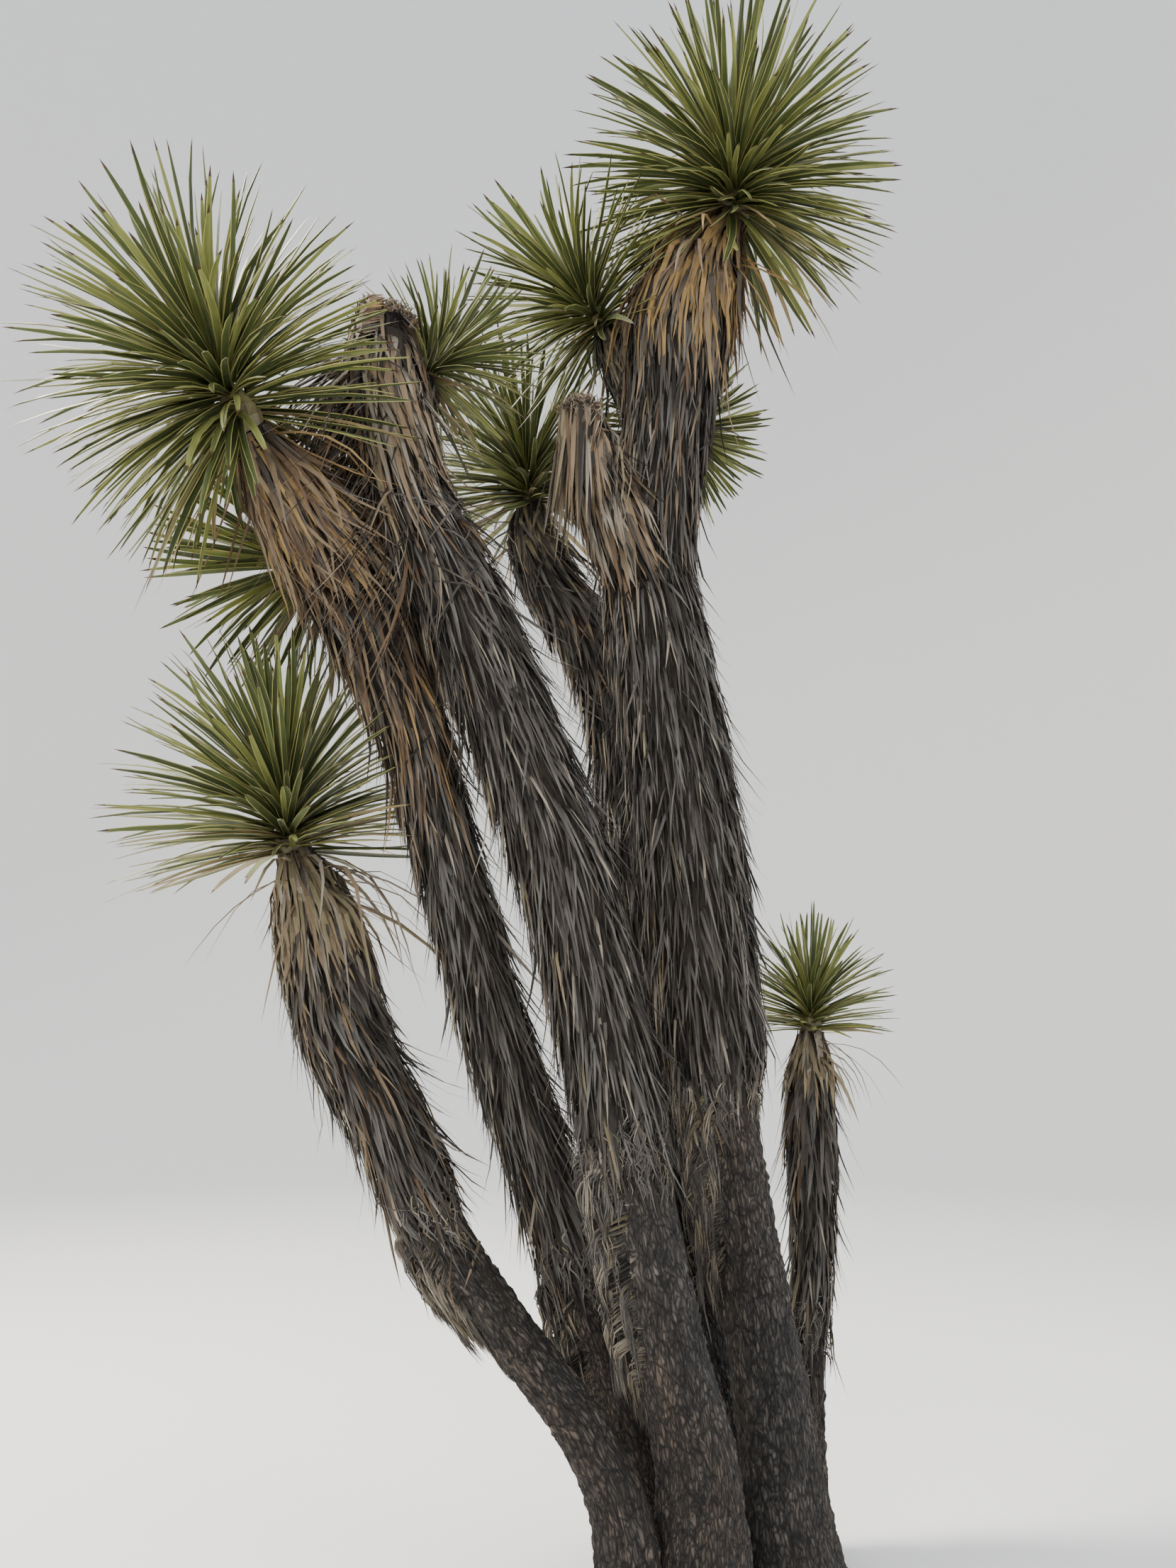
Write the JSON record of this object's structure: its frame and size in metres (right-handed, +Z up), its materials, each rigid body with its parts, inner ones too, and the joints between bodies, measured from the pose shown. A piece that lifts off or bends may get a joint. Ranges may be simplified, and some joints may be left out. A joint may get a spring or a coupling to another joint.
{
  "type": "joshua tree",
  "caption": "Clump-forming desert yucca tree: leaning stems clad in dead leaves, heads of dagger leaves, dead broken tops, rooted in level ground.",
  "frame": {"origin": "middle of the main stem's flat foot, at ground level", "axes": "+Z up, +X to the right and +Y away from the viewer, who sees the leaning stems spread to the left"},
  "size_m": [1.5921, 1.39, 3.0071],
  "materials": {
    "bark": "rough cracked bark in small plates",
    "dead_leaves": "dry weathered leaves, matt",
    "green_leaves": "stiff waxy leaves, satin"
  },
  "bodies": {
    "root": {"main_stem": "bark", "front_stem": "bark", "left_stem": "bark", "low_stem": "bark", "rear_stem": "bark", "small_stem": "bark", "upper_bough": "bark", "hidden_bough": "bark", "dead_bough": "bark", "side_bough": "bark", "top_bough": "bark", "main_skirt": "dead_leaves", "front_skirt": "dead_leaves", "left_skirt": "dead_leaves", "low_skirt": "dead_leaves", "rear_skirt": "dead_leaves", "small_skirt": "dead_leaves", "upper_skirt": "dead_leaves", "hidden_skirt": "dead_leaves", "dead_skirt": "dead_leaves", "side_skirt": "dead_leaves", "top_skirt": "dead_leaves", "main_head": "green_leaves", "left_head": "green_leaves", "low_head": "green_leaves", "rear_head": "green_leaves", "small_head": "green_leaves", "upper_head": "green_leaves", "hidden_head": "green_leaves", "side_head": "green_leaves", "top_head": "green_leaves"}
  },
  "joints": []
}
